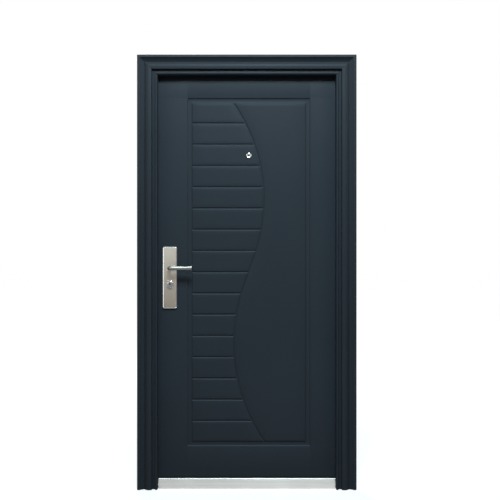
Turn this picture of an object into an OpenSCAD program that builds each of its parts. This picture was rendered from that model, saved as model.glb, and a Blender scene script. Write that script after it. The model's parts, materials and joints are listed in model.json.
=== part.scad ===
/* [Frame] */
// Width over the moulded casing
overall_w = 1060; // [950:5:1250]
// Height from the floor to the top of the casing
overall_h = 2100; // [1950:5:2400]
// Width of the moulded casing across its face
casing_w = 99; // [95:1:125]
// How far the casing laps over the wall beyond the frame body
wall_lap = 50; // [40:1:60]
// Thickness of the frame sheet
frame_t = 1.5; // [1:0.1:2]
// Distance from the wall face back to the outside face of the leaf
set_back = 25; // [12:1:40]
// Depth of the rebate that the leaf closes into
rebate_d = 20.5; // [18:0.5:26]
// Space between the stop and the closed leaf, filled by the gasket
seal_space = 8; // [6:0.5:10]

/* [Casing moulding] */
// Height of the rounded outer bead above the wall face
bead_h = 13.5; // [10:0.5:18]
// Height of the hollow between the outer bead and the crest
hollow_h = 2; // [1:0.5:6]
// Height of the broad crest
crest_h = 15; // [12:0.5:20]
// Height of the narrow groove's floor beside the crest
groove_floor_h = 2; // [1:0.5:4]
// Height of the narrow inner bead
lip_h = 12; // [9:0.5:15]

/* [Leaf] */
// Thickness of the leaf
leaf_t = 50; // [45:1:70]
// Thickness of each steel skin
skin_t = 1.2; // [0.8:0.1:1.6]
// Gap between the leaf's edges and the frame
edge_gap = 7.5; // [6:0.5:9]
// Gap between the leaf's lower edge and the tread of the threshold
floor_gap = 8; // [6:0.5:12]
// Thickness of the edge channels
channel_t = 2; // [1.5:0.1:3]

/* [Pressed pattern] */
// Width of the pressed panel outside its channel
panel_w = 600; // [500:2:640]
// Plain border of the skin below the pressed panel
border_low = 164; // [120:1:300]
// Plain border of the skin above the pressed panel
border_high = 117; // [100:1:300]
// Width of the channel round the panel
channel_w = 26; // [18:1:30]
// Depth of the channel
channel_d = 4; // [3:0.5:6]
// Number of bays that the cross grooves make
bays = 16; // [8:1:20]
// Width of a groove at the surface
groove_w = 11; // [8:0.5:14]
// Depth of a groove
groove_d = 3; // [2:0.5:4]
// Sideways swing of the long curve to each side
curve_swing = 73; // [40:0.5:110]
// Height of the curve's widest point from the panel's middle
curve_rise = 350; // [300:1:420]
// How far the panel's middle lies to the hinge side of the leaf's
panel_shift = 10; // [0:1:20]

/* [Lock furniture] */
// Height of the lever's spindle above the floor
lever_z = 1069; // [1000:1:1100]
// Distance of the spindle from the leaf's lock edge
backset = 70.5; // [60:0.5:75]
// Width of each lock plate
plate_w = 70; // [60:1:80]
// Height of each lock plate
plate_h = 302; // [260:1:330]
// Thickness of each lock plate
plate_t = 9; // [7:0.5:12]
// Length of the lever from spindle to tip
lever_l = 111; // [100:1:130]
// Distance from the leaf to the front of the lever
lever_out = 58; // [50:1:65]
// Radius of the lever's bar
lever_r = 9; // [8:0.5:10]
// Distance from spindle to key plug
plug_drop = 76; // [70:1:85]

/* [Peephole] */
// Distance of the peephole below the leaf's top edge
peep_down = 397; // [350:1:560]
// Radius of the peephole's ring
peep_r = 13.5; // [11:0.5:16]

/* [Threshold] */
// Height of the threshold's stop
sill_h = 50; // [45:1:60]
// Thickness of the threshold sheet
sill_t = 2; // [1.5:0.1:3]

/* [Hinges] */
// Height of one knuckle
knuckle_h = 58; // [45:1:70]
// Outside radius of a knuckle
knuckle_r = 8; // [7.5:0.5:9]
// Radius of the hinge pins
pin_r = 5; // [4:0.5:5.5]

/* [Hidden] */
$fn = 48;

// One overrun serves every cut
cut = 2;
half_w = overall_w / 2;

// Places across the frame, measured from the middle of the door
lip_x = half_w - casing_w;
rebate_x = lip_x + rebate_d;
body_x = half_w - wall_lap;
leaf_x = rebate_x - edge_gap;
lip_z = overall_h - casing_w;
rebate_z = lip_z + rebate_d;
leaf_top = rebate_z - edge_gap;

// Places through the frame, measured from the outside face of the leaf
wall_y = -set_back;
stop_y = -seal_space;
rear_y = leaf_t;
return_w = 15;
hem_w = 8;

// Stations across the moulding, from its outer edge
edge_r = 9;
bead_end = 14;
quirk_end = 17.5;
quirk_d = 4;
hollow_u = 34;
crest_u = 56;
brink_u = 71;
brink_d = 4;
floor_start = 74.5;
floor_end = 83.5;
lip_w = 9;
lip_u = casing_w - lip_w;
lip_r = 7;
blend_steps = 6;
arc_steps = 5;

// Wall anchors: a row of holes through the bottom of each jamb's rebate
anchor_foot = 250;
anchor_top = 275;
anchor_below = 256;
anchor_above = 269;
anchor_r = 5.5;
anchor_y = leaf_t / 2;

// Threshold
tread_z = 28;
sill_front = -20;
sill_foot = 34;
sill_side = 3;
sill_r = 3;
leaf_bottom = tread_z + floor_gap;
leaf_middle = (leaf_bottom + leaf_top) / 2;

// Gaskets
gasket_w = 10;
gasket_inset = 3;
gasket_gap = 0.5;
gasket_foot = 2.5;
bulb_r = (seal_space - gasket_gap) / 2;

// Hinges, with their axis behind the frame's rear face
wing_t = 4;
wing_l = 44;
wing_gap = 2;
hinge_x = rebate_x;
hinge_y = rear_y + wing_t + pin_r;
frame_wing = body_x - hinge_x - wing_t / 2;
washer_t = 1;
pin_gap = 0.05;
pin_end = 3;
screw_r = 2.6;
screw_in = 12;
hinge_rise = 190;
hinge_heights = [leaf_bottom + hinge_rise, leaf_middle, leaf_top - hinge_rise];

// Pressed pattern: the long curve is two equal arcs and their common tangent
press_slope = 4;
panel_h = leaf_top - leaf_bottom - border_low - border_high;
panel_middle = leaf_bottom + border_low + panel_h / 2;
end_bay_less = 6.5;
inner_w = panel_w - channel_w * 2;
inner_h = panel_h - channel_w * 2;
bay_h = (inner_h + end_bay_less * 2) / bays;
curve_reach = inner_h / 2 - curve_rise;
curve_r = (pow(curve_swing * 2, 2) + pow(curve_reach, 2)) / (curve_swing * 4);
curve_centre = [curve_swing - curve_r, curve_rise];
tangent_a = atan2(curve_centre.y, curve_centre.x) - asin(min(1, curve_r / norm(curve_centre)));
curve_start = asin((curve_reach + channel_w / 2) / curve_r);
curve_end = tangent_a - 90;
curve_steps = 14;

// Skins and edge channels, the channels set in by the thickness of the forend
skin_return = 12;
hole_gap = 0.5;
flange_w = 40;
forend_t = 3;
channel_x = leaf_x - forend_t;
channel_low = leaf_bottom + skin_t;
channel_high = leaf_top - skin_t;

// Places of the lock's parts
lever_x = -leaf_x + backset;
plug_z = lever_z - plug_drop;
lock_z = lever_z - plug_drop / 2;

// Mortice lock
case_t = 16;
case_h = 260;
case_l = 96;
forend_w = 24;
forend_h = 300;
latch_w = 12;
latch_h = 32;
latch_rise = 12;
latch_z = lever_z + latch_rise;
bolt_r = 6.5;
bolt_pitch = 26;
bolt_heights = [for (i = [-1:1]) plug_z + i * bolt_pitch];
bolt_l = 44;
bolt_gap = 0.25;
drawn_back = 0.5;

// Strike plate
strike_w = 30;
strike_h = 330;
strike_t = 2;
strike_y = leaf_t / 2;
keep_gap = 1.5;

// Lock plates: shares of the bevel's width and of the thickness at each step of the round edge
plate_r = 7.5;
plate_bevel = 6;
plate_drop = 9;
plate_shift = 1.5;
cushion_shares = [[0, 0.45], [0.4, 0.8], [1, 1]];

// Profile cylinder with its egg-shaped cap, the oval guard round it and the key plug
barrel_r = 8.5;
tail_w = 10;
tail_drop = 24.5;
cap_r = 12;
cap_foot_r = 7.5;
cap_drop = 14;
cap_t = 8;
cap_bevel = 1;
guard_w = 34;
guard_h = 44;
guard_t = 4;
guard_bevel = 2;
guard_drop = 6;
guard_gap = 0.8;
plug_r = 6.5;
plug_l = 30;
plug_gap = 0.05;
plug_proud = 0.5;
key_w = 2.4;
key_h = 8;
key_l = 20;

// Thumb turn
turn_r = 15;
turn_t = 4;
grip_w = 9;
grip_h = 30;
grip_l = 22;

// Peephole
peep_z = leaf_top - peep_down;
peep_tube_r = 7;
peep_bore_r = 5.5;
peep_flange = 4;
peep_round = 1.5;

// Levers
neck_r = 10;
neck_gap = 0.05;
spindle_w = 8;
spindle_gap = 0.1;
spindle_in = 22;
waist_r = lever_r - lever_r / 8;
tip_r = lever_r + lever_r / 9;
tip_l = 8;
bar_y = lever_out - lever_r;
lever_clear = 0.5;

// A sheet's outline is its visible line and the same line moved by the thickness
function unit(v) = v / norm(v);
function left_of(v) = [-v.y, v.x];
function turned(list) = [for (i = [len(list) - 1:-1:0]) list[i]];
function beside(line, t) = [
    for (i = [0:len(line) - 1])
        let (before = unit(i == 0 ? line[1] - line[0] : line[i] - line[i - 1]),
             after = unit(i == len(line) - 1 ? line[i] - line[i - 1] : line[i + 1] - line[i]),
             middle = unit(left_of(before) + left_of(after)))
            line[i] + middle * t / (middle * left_of(before))
];
function sheet_outline(line, t) = concat(line, turned(beside(line, t)));

// A half wave from one station to the next, without its last point
function wave(a, b, steps) = [
    for (i = [0:steps - 1])
        let (s = i / steps)
            [a.x + (b.x - a.x) * s, a.y + (b.y - a.y) * (1 - cos(180 * s)) / 2]
];
// Quarter waves: one that starts level and steepens, one that starts steep and levels out
function fall(a, b, steps) = [
    for (i = [0:steps - 1])
        let (s = i / steps)
            [a.x + (b.x - a.x) * s, a.y + (b.y - a.y) * (1 - cos(90 * s))]
];
function rise(a, b, steps) = [
    for (i = [0:steps - 1])
        let (s = i / steps)
            [a.x + (b.x - a.x) * s, a.y + (b.y - a.y) * sin(90 * s)]
];
// A quarter round about a centre, with both its ends
function quarter(centre, r, from, to, steps) = [
    for (i = [0:steps])
        let (a = from + (to - from) * i / steps)
            centre + r * [cos(a), sin(a)]
];

// Visible line of a frame member: hem, moulding, reveal, stop, rebate, rear flange and return.
// The first coordinate runs inward from the outer edge, the second runs back.
function moulding() = concat(
    [[hem_w, wall_y], [0, wall_y]],
    quarter([edge_r, wall_y - bead_h + edge_r], edge_r, 180, 270, arc_steps),
    [[bead_end, wall_y - bead_h], [quirk_end, wall_y - bead_h + quirk_d]],
    rise([hollow_u, wall_y - hollow_h], [crest_u, wall_y - crest_h], blend_steps),
    fall([crest_u, wall_y - crest_h], [brink_u, wall_y - crest_h + brink_d], blend_steps),
    [[brink_u, wall_y - crest_h + brink_d], [floor_start, wall_y - groove_floor_h]],
    wave([floor_end, wall_y - groove_floor_h], [lip_u, wall_y - lip_h], blend_steps),
    [[lip_u, wall_y - lip_h]],
    quarter([casing_w - lip_r, wall_y - lip_h + lip_r], lip_r, 270, 360, arc_steps)
);
function member_line() = concat(
    moulding(),
    [
        [casing_w, stop_y],
        [casing_w - rebate_d, stop_y],
        [casing_w - rebate_d, rear_y],
        [wall_lap, rear_y],
        [wall_lap, rear_y - return_w]
    ]
);

// A straight length of frame member with its outer edge on the Z axis
module member(run) {
    linear_extrude(run)
        polygon([for (p = sheet_outline(member_line(), frame_t)) [-p.x, p.y]]);
}
// Wedge that a jamb loses above its mitre, and the head below it
module mitre_wedge(above) {
    reach = casing_w + cut;
    depth = set_back + leaf_t + crest_h + cut;
    corner = above ? [-reach, cut] : [cut, -reach];
    translate([half_w, depth, overall_h])
        rotate([90, 0, 0])
            linear_extrude(depth * 2)
                polygon([[cut, cut], corner, [-reach, -reach]]);
}

// Wall anchors: a row of holes through the bottom of each rebate
module anchor_holes() {
    for (z = [anchor_foot, lock_z - anchor_below, lock_z + anchor_above, overall_h - anchor_top])
        translate([rebate_x - cut, anchor_y, z])
            rotate([0, 90, 0])
                cylinder(r = anchor_r, h = frame_t + cut * 2);
}
module jamb() {
    difference() {
        translate([half_w, 0, 0])
            member(overall_h);
        mitre_wedge(true);
        anchor_holes();
    }
}

module hinge_jamb() {
    color("darkslategray")
        jamb();
}
module lock_jamb() {
    color("darkslategray")
        difference() {
            mirror([1, 0, 0])
                jamb();
            translate([-rebate_x - frame_t - cut, strike_y - strike_w / 2, lock_z - strike_h / 2])
                cube([frame_t + cut * 2, strike_w, strike_h]);
        }
}
module head_member() {
    color("darkslategray")
        difference() {
            translate([half_w, 0, overall_h])
                rotate([0, -90, 0])
                    member(overall_w);
            mitre_wedge(false);
            mirror([1, 0, 0])
                mitre_wedge(false);
        }
}

// Threshold: a stop in front of the leaf and a lower tread under it
function sill_line() = concat(
    [[sill_front + sill_foot, 0], [sill_front, 0]],
    quarter([sill_front + sill_r, sill_h - sill_r], sill_r, 180, 90, arc_steps),
    [[stop_y, sill_h], [stop_y, tread_z], [rear_y, tread_z], [rear_y, 0]]
);
module threshold() {
    end_x = lip_x - sill_side;
    color("gainsboro")
        difference() {
            translate([-rebate_x, 0, 0])
                rotate([90, 0, 90])
                    linear_extrude(rebate_x * 2)
                        polygon(sheet_outline(sill_line(), -sill_t));
            for (side = [-1, 1])
                translate([side > 0 ? end_x : -end_x - rebate_x, sill_front - cut, -cut])
                    cube([rebate_x, stop_y + cut - sill_front, sill_h + cut * 2]);
        }
}

// Gaskets: a bulb on a flat foot against each stop, just clear of the leaf
module gasket_section() {
    reach = seal_space - gasket_gap;
    translate([gasket_inset, 0])
        square([gasket_w, gasket_foot]);
    translate([gasket_inset + gasket_w / 2, reach - bulb_r])
        circle(bulb_r);
    translate([gasket_inset + gasket_w / 2 - bulb_r / 2, gasket_foot / 2])
        square([bulb_r, reach - bulb_r]);
}
module gasket_side() {
    translate([lip_x, stop_y, sill_h - gasket_inset])
        linear_extrude(lip_z - sill_h + gasket_inset * 2)
            gasket_section();
}
module gasket_hinge_side() {
    color("black")
        gasket_side();
}
module gasket_lock_side() {
    color("black")
        mirror([1, 0, 0])
            gasket_side();
}
module gasket_head() {
    run = (lip_x + gasket_inset + gasket_w) * 2;
    color("black")
        translate([run / 2, stop_y, lip_z])
            rotate([0, -90, 0])
                linear_extrude(run)
                    gasket_section();
}
module gasket_sill() {
    run = (rebate_x - sill_side) * 2;
    color("black")
        translate([-run / 2, stop_y, sill_h])
            rotate([0, 90, 0])
                linear_extrude(run)
                    gasket_section();
}

// Strike plate, flush in the bottom of the lock side's rebate
module strike_plate() {
    color("silver")
        difference() {
            translate([-rebate_x - strike_t, strike_y - strike_w / 2, lock_z - strike_h / 2])
                cube([strike_t, strike_w, strike_h]);
            translate([-rebate_x - strike_t - cut, strike_y, 0]) {
                translate([0, -latch_w / 2 - keep_gap, latch_z - latch_h / 2 - keep_gap])
                    cube([strike_t + cut * 2, latch_w + keep_gap * 2, latch_h + keep_gap * 2]);
                for (z = bolt_heights)
                    translate([0, 0, z])
                        rotate([0, 90, 0])
                            cylinder(r = bolt_r + keep_gap, h = strike_t + cut * 2);
            }
        }
}

// Lift-off hinges behind the hinge side: the lower knuckle is the frame's, the upper the leaf's
// A wing and its knuckle, with the wing running from the axis to the given side
module hinge_half(side, wing, length) {
    difference() {
        union() {
            cylinder(r = knuckle_r, h = length);
            translate([side > 0 ? wing_gap : -wing, rear_y - hinge_y, 0])
                cube([wing - wing_gap, wing_t, length]);
        }
        translate([0, 0, -cut])
            cylinder(r = pin_r + (side > 0 ? 0 : pin_gap), h = length + cut * 2);
        for (z = [length / 4, length * 3 / 4])
            translate([side * (wing - screw_in), rear_y - hinge_y - cut, z])
                rotate([-90, 0, 0])
                    cylinder(r = screw_r, h = wing_t + cut * 2);
    }
}
module frame_half(z) {
    color("dimgray")
        translate([hinge_x, hinge_y, z - knuckle_h])
            hinge_half(1, frame_wing, knuckle_h);
}
module leaf_half(z) {
    color("dimgray")
        translate([hinge_x, hinge_y, z + washer_t])
            hinge_half(-1, wing_l, knuckle_h);
}
// Pin with a washer collar between the knuckles and a rounded head above
module hinge_pin(z) {
    color("silver")
        translate([hinge_x, hinge_y, z - knuckle_h])
            rotate_extrude()
                polygon([
                    [0, 0],
                    [pin_r, 0],
                    [pin_r, knuckle_h],
                    [knuckle_r, knuckle_h],
                    [knuckle_r, knuckle_h + washer_t - pin_gap],
                    [pin_r, knuckle_h + washer_t - pin_gap],
                    [pin_r, knuckle_h * 2 + washer_t],
                    [pin_r - pin_end, knuckle_h * 2 + washer_t + pin_end],
                    [0, knuckle_h * 2 + washer_t + pin_end]
                ]);
}
module hinge_frame_bottom() { frame_half(hinge_heights[0]); }
module hinge_frame_middle() { frame_half(hinge_heights[1]); }
module hinge_frame_top() { frame_half(hinge_heights[2]); }
module hinge_leaf_bottom() { leaf_half(hinge_heights[0]); }
module hinge_leaf_middle() { leaf_half(hinge_heights[1]); }
module hinge_leaf_top() { leaf_half(hinge_heights[2]); }
module hinge_pin_bottom() { hinge_pin(hinge_heights[0]); }
module hinge_pin_middle() { hinge_pin(hinge_heights[1]); }
module hinge_pin_top() { hinge_pin(hinge_heights[2]); }

// A pressed trench along a line in the skin's plane, as a sheet's front or its back.
// Each side line is the middle line moved sideways and back; a closed line has no end faces.
function closed_beside(line, t) = [
    for (i = [0:len(line) - 1])
        let (last = line[(i + len(line) - 1) % len(line)],
             before = unit(line[i] - last),
             after = unit(line[(i + 1) % len(line)] - line[i]),
             middle = unit(left_of(before) + left_of(after)))
            line[i] + middle * t / (middle * left_of(before))
];
function moved(line, t, closed) = closed ? closed_beside(line, t) : beside(line, t);
function at_depth(line, y) = [for (p = line) [p.x, y, p.y]];
module trench(line, w, d, back, closed = false) {
    grow = back ? skin_t : 0;
    near = back ? skin_t / 2 : -cut;
    bend = back ? skin_t / 2 : 0;
    edge = w / 2 + grow;
    floor_edge = edge - min(press_slope, w / 3);
    sides = [
        at_depth(moved(line, edge, closed), near),
        at_depth(moved(line, -edge, closed), near),
        at_depth(moved(line, -edge, closed), bend),
        at_depth(moved(line, -floor_edge, closed), d + grow),
        at_depth(moved(line, floor_edge, closed), d + grow),
        at_depth(moved(line, edge, closed), bend)
    ];
    used = back ? [0, 1, 3, 4] : [0, 1, 2, 3, 4, 5];
    k = len(used);
    n = len(line);
    points = [for (i = [0:n - 1]) for (j = used) sides[j][i]];
    walls = [
        for (i = [0:closed ? n - 1 : n - 2])
            for (j = [0:k - 1])
                [i * k + j, (i + 1) % n * k + j, (i + 1) % n * k + (j + 1) % k, i * k + (j + 1) % k]
    ];
    start = [for (j = [0:k - 1]) j];
    end = [for (j = [k - 1:-1:0]) (n - 1) * k + j];
    polyhedron(points, closed ? walls : concat(walls, [start, end]));
}

// The long curve: two equal arcs joined by their common tangent through the panel's middle
upper_curve = [
    for (i = [0:curve_steps])
        let (a = curve_start + (curve_end - curve_start) * i / curve_steps)
            curve_centre + curve_r * [cos(a), sin(a)]
];
long_curve = concat(upper_curve, [for (p = turned(upper_curve)) -p]);
// Sideways place of the long curve at a height above the panel's middle
function curve_x(z) = z < 0 ? -curve_x(-z)
    : z < upper_curve[curve_steps].y ? z / tan(tangent_a)
    : curve_centre.x + sqrt(pow(curve_r, 2) - pow(z - curve_centre.y, 2));

module panel_channel(back) {
    x = (panel_w - channel_w) / 2;
    z = (panel_h - channel_w) / 2;
    trench([[-x, -z], [x, -z], [x, z], [-x, z]], channel_w, channel_d, back, true);
}
module panel_grooves(back) {
    for (i = [1:bays - 1]) {
        z = (i - bays / 2) * bay_h;
        trench([[-(inner_w + channel_w) / 2, z], [curve_x(z), z]], groove_w, groove_d, back);
    }
    trench(long_curve, groove_w, groove_d, back);
}
module at_panel() {
    translate([panel_shift, 0, panel_middle])
        children();
}

// A skin is a tray: a flat sheet with a short return along each edge
module tray() {
    difference() {
        translate([-leaf_x, 0, leaf_bottom])
            cube([leaf_x * 2, skin_return, leaf_top - leaf_bottom]);
        translate([-leaf_x + skin_t, skin_t, leaf_bottom + skin_t])
            cube([(leaf_x - skin_t) * 2, skin_return, leaf_top - leaf_bottom - skin_t * 2]);
    }
}
module to_inside() {
    translate([0, leaf_t, 0])
        mirror([0, 1, 0])
            children();
}

// Holes that the lock furniture and the peephole need through a skin
module furniture_holes() {
    translate([lever_x, -cut, lever_z])
        rotate([-90, 0, 0])
            cylinder(r = neck_r + hole_gap, h = leaf_t);
    translate([lever_x, -cut, plug_z])
        cylinder_shape(leaf_t, hole_gap);
    translate([panel_shift, -cut, peep_z])
        rotate([-90, 0, 0])
            cylinder(r = peep_tube_r + hole_gap, h = leaf_t);
}
module outer_skin() {
    color("darkslategray")
        difference() {
            union() {
                tray();
                at_panel() {
                    panel_channel(true);
                    panel_grooves(true);
                }
            }
            at_panel() {
                panel_channel(false);
                panel_grooves(false);
            }
            furniture_holes();
        }
}
module inner_skin() {
    color("darkslategray")
        to_inside()
            difference() {
                union() {
                    tray();
                    at_panel()
                        panel_channel(true);
                }
                at_panel()
                    panel_channel(false);
                furniture_holes();
            }
}

// Edge channels between the skins, set in by the thickness of the forend
// Open section with its back on the Y axis and its flanges running to negative X
module channel_section() {
    w = leaf_t - skin_t * 2;
    polygon([
        [0, 0], [0, w], [-flange_w, w], [-flange_w, w - channel_t],
        [-channel_t, w - channel_t], [-channel_t, channel_t],
        [-flange_w, channel_t], [-flange_w, 0]
    ]);
}
module stile() {
    translate([channel_x, skin_t, channel_low])
        linear_extrude(channel_high - channel_low)
            channel_section();
}
module rail() {
    run = (channel_x - flange_w) * 2;
    translate([run / 2, skin_t, 0])
        rotate([0, -90, 0])
            linear_extrude(run)
                channel_section();
}
module lock_stile() {
    color("gray")
        difference() {
            mirror([1, 0, 0])
                stile();
            translate([-channel_x - cut, leaf_t / 2 - case_t / 2, lock_z - case_h / 2])
                cube([channel_t + cut * 2, case_t, case_h]);
        }
}
module hinge_stile() {
    color("gray")
        stile();
}
module top_rail() {
    color("gray")
        translate([0, 0, leaf_top - forend_t])
            rail();
}
module bottom_rail() {
    color("gray")
        translate([0, 0, leaf_bottom + forend_t])
            mirror([0, 0, 1])
                rail();
}

// Mortice lock: case, forend, latch and three round bolts, all drawn back
module lock_bores(gap) {
    translate([-leaf_x - cut, leaf_t / 2, 0]) {
        translate([0, -latch_w / 2 - gap, latch_z - latch_h / 2 - gap])
            cube([bolt_l + cut * 2, latch_w + gap * 2, latch_h + gap * 2]);
        for (z = bolt_heights)
            translate([0, 0, z])
                rotate([0, 90, 0])
                    cylinder(r = bolt_r + gap, h = bolt_l + cut * 2);
    }
}
module lock_case() {
    color("gray")
        difference() {
            translate([-channel_x, leaf_t / 2 - case_t / 2, lock_z - case_h / 2])
                cube([case_l, case_t, case_h]);
            lock_bores(bolt_gap);
            translate([lever_x, 0, lever_z])
                rotate([-90, 0, 0])
                    cylinder(r = spindle_w, h = leaf_t);
            translate([lever_x, 0, plug_z])
                cylinder_shape(leaf_t, hole_gap);
        }
}
module lock_forend() {
    color("silver")
        difference() {
            translate([-leaf_x, leaf_t / 2 - forend_w / 2, lock_z - forend_h / 2])
                cube([forend_t, forend_w, forend_h]);
            lock_bores(bolt_gap);
        }
}
module latch_bolt() {
    color("silver")
        translate([-leaf_x + drawn_back, leaf_t / 2, latch_z - latch_h / 2])
            linear_extrude(latch_h)
                polygon([
                    [0, latch_w / 2],
                    [latch_w, -latch_w / 2],
                    [bolt_l, -latch_w / 2],
                    [bolt_l, latch_w / 2]
                ]);
}
module dead_bolts() {
    color("silver")
        for (z = bolt_heights)
            translate([-leaf_x + drawn_back, leaf_t / 2, z])
                rotate([0, 90, 0])
                    cylinder(r = bolt_r, h = bolt_l);
}

// Lock plates with rounded edges, the same outside and inside
module cushion(w, h, r, t, bevel) {
    hull()
        for (x = [r - w / 2, w / 2 - r], z = [r - h / 2, h / 2 - r], share = cushion_shares)
            translate([x, 0, z])
                rotate([90, 0, 0])
                    cylinder(r = r - bevel * share[0], h = t * share[1], $fn = 32);
}
module lock_plate() {
    difference() {
        translate([lever_x - plate_shift, 0, lock_z - plate_drop])
            cushion(plate_w, plate_h, plate_r, plate_t, plate_bevel);
        translate([lever_x, cut, lever_z])
            rotate([90, 0, 0])
                cylinder(r = neck_r + neck_gap, h = plate_t + cut * 2);
        translate([lever_x, -plate_t - cut, plug_z])
            cylinder_shape(plate_t + cut * 2, hole_gap);
    }
}
module plate_outside() {
    color("rosybrown")
        lock_plate();
}
module plate_inside() {
    color("rosybrown")
        to_inside()
            lock_plate();
}

// Profile cylinder: a round barrel with a narrow tail below, running through the leaf
module cylinder_shape(length, gap) {
    rotate([-90, 0, 0]) {
        cylinder(r = barrel_r + gap, h = length);
        translate([-tail_w / 2 - gap, 0, 0])
            cube([tail_w + gap * 2, tail_drop + gap, length]);
    }
}
// Egg shape about the plug, wide above and narrow below
module egg(grow, t, bevel) {
    hull()
        for (end = [[0, cap_r], [-cap_drop, cap_foot_r]])
            translate([0, 0, end[0]])
                rotate([90, 0, 0]) {
                    cylinder(r = end[1] + grow, h = t - bevel, $fn = 32);
                    cylinder(r = end[1] + grow - bevel, h = t, $fn = 32);
                }
}
module cylinder_guard() {
    color("silver")
        translate([lever_x, -plate_t, plug_z])
            difference() {
                translate([0, 0, -guard_drop])
                    cushion(guard_w, guard_h, guard_w / 2, guard_t, guard_bevel);
                translate([0, cut, 0])
                    egg(guard_gap, guard_t + cut * 2, 0);
            }
}
module cylinder_body() {
    front = plate_t + cap_t;
    color("gainsboro")
        difference() {
            union() {
                translate([lever_x, -plate_t, plug_z])
                    cylinder_shape(leaf_t + plate_t * 2, 0);
                translate([lever_x, -plate_t, plug_z])
                    egg(0, cap_t, cap_bevel);
            }
            translate([lever_x, plug_l - front, plug_z])
                rotate([90, 0, 0])
                    cylinder(r = plug_r + plug_gap, h = plug_l + cut);
        }
}
module key_plug() {
    front = plate_t + cap_t + plug_proud;
    color("goldenrod")
        difference() {
            translate([lever_x, plug_l - front, plug_z])
                rotate([90, 0, 0])
                    cylinder(r = plug_r, h = plug_l);
            translate([lever_x - key_w / 2, -front - cut, plug_z - key_h / 2])
                cube([key_w, key_l + cut, key_h]);
        }
}
// Thumb turn inside: a round rose, a short hub and an upright grip with round ends
module thumbturn() {
    end_r = grip_w / 2;
    reach = grip_h / 2 - end_r;
    color("silver")
        translate([lever_x, leaf_t + plate_t, plug_z])
            rotate([-90, 0, 0]) {
                cylinder(r = turn_r, h = turn_t);
                cylinder(r = grip_w, h = grip_l / 2);
                linear_extrude(grip_l)
                    polygon(concat(
                        quarter([0, reach], end_r, 0, 180, arc_steps * 2),
                        quarter([0, -reach], end_r, 180, 360, arc_steps * 2)
                    ));
            }
}

// Peephole: a ring and barrel outside, a lens, and a screwed barrel inside
module peep_barrel(r) {
    rotate([90, 0, 0])
        rotate_extrude()
            polygon([
                [peep_bore_r, -leaf_t / 2], [peep_tube_r, -leaf_t / 2], [peep_tube_r, 0],
                [r, 0], [r, peep_round], [r - peep_round, peep_flange - peep_round / 2],
                [r - peep_round * 2, peep_flange], [peep_tube_r, peep_flange - peep_round / 2],
                [peep_bore_r, peep_flange - peep_round]
            ]);
}
module peephole_ring() {
    color("silver")
        translate([panel_shift, 0, peep_z])
            peep_barrel(peep_r);
}
module peephole_inner() {
    color("silver")
        translate([panel_shift, leaf_t, peep_z])
            mirror([0, 1, 0])
                peep_barrel(peep_r);
}
module peephole_lens() {
    color("black")
        translate([panel_shift, 0, peep_z])
            rotate([90, 0, 0])
                rotate_extrude()
                    polygon([
                        [0, -peep_flange], [peep_bore_r, -peep_flange], [peep_bore_r, peep_round / 2],
                        [peep_bore_r / 2, peep_round], [0, peep_round + peep_round / 4]
                    ]);
}

// Levers: a round neck in the plate, a rounded elbow and a turned bar with a flared tip
bar_line = concat(
    [[0, 0]],
    wave([0, lever_r], [lever_l / 2, waist_r], blend_steps),
    wave([lever_l / 2, waist_r], [lever_l - tip_l, tip_r], blend_steps),
    wave([lever_l - tip_l, tip_r], [lever_l - tip_l / 2, tip_r], 1),
    quarter([lever_l - tip_l / 2, tip_r - tip_l / 2], tip_l / 2, 90, 0, arc_steps),
    [[lever_l, 0]]
);
module lever() {
    difference() {
        union() {
            translate([0, -lever_clear, 0])
                rotate([90, 0, 0])
                    cylinder(r = neck_r, h = bar_y - lever_clear);
            translate([0, -bar_y, 0]) {
                sphere(neck_r);
                rotate([90, 0, 90])
                    rotate_extrude()
                        polygon([for (p = bar_line) [p.y, p.x]]);
            }
        }
        translate([-spindle_w / 2 - spindle_gap, -spindle_in, -spindle_w / 2 - spindle_gap])
            cube([
                spindle_w + spindle_gap * 2,
                spindle_in + cut,
                spindle_w + spindle_gap * 2
            ]);
    }
}
module lever_outside() {
    color("rosybrown")
        translate([lever_x, 0, lever_z])
            lever();
}
module lever_inside() {
    color("rosybrown")
        to_inside()
            translate([lever_x, 0, lever_z])
                lever();
}
module spindle() {
    run = leaf_t + spindle_in * 2;
    color("silver")
        translate([lever_x - spindle_w / 2, -spindle_in, lever_z - spindle_w / 2])
            cube([spindle_w, run, spindle_w]);
}

hinge_jamb();
lock_jamb();
head_member();
threshold();
gasket_hinge_side();
gasket_lock_side();
gasket_head();
gasket_sill();
strike_plate();
hinge_frame_bottom();
hinge_frame_middle();
hinge_frame_top();
hinge_pin_bottom();
hinge_pin_middle();
hinge_pin_top();
hinge_leaf_bottom();
hinge_leaf_middle();
hinge_leaf_top();
outer_skin();
inner_skin();
lock_stile();
hinge_stile();
top_rail();
bottom_rail();
lock_case();
lock_forend();
latch_bolt();
dead_bolts();
plate_outside();
plate_inside();
cylinder_guard();
cylinder_body();
thumbturn();
peephole_ring();
peephole_lens();
peephole_inner();
lever_outside();
lever_inside();
spindle();
key_plug();
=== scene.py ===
# %% [markdown]
# # A steel security door
#
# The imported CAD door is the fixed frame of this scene. Here it gets the finishes of the real one: a matt powder
# coat on the pressed leaf and on the moulded casing, brushed metal on the lock, and polished metal on the peephole.
# The pieces whose edges are soft on the real door are modelled again with more care than a solid model needs.
# Everything is in metres, with Z up and the outside of the door facing -Y.

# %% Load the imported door
import json
import math

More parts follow.
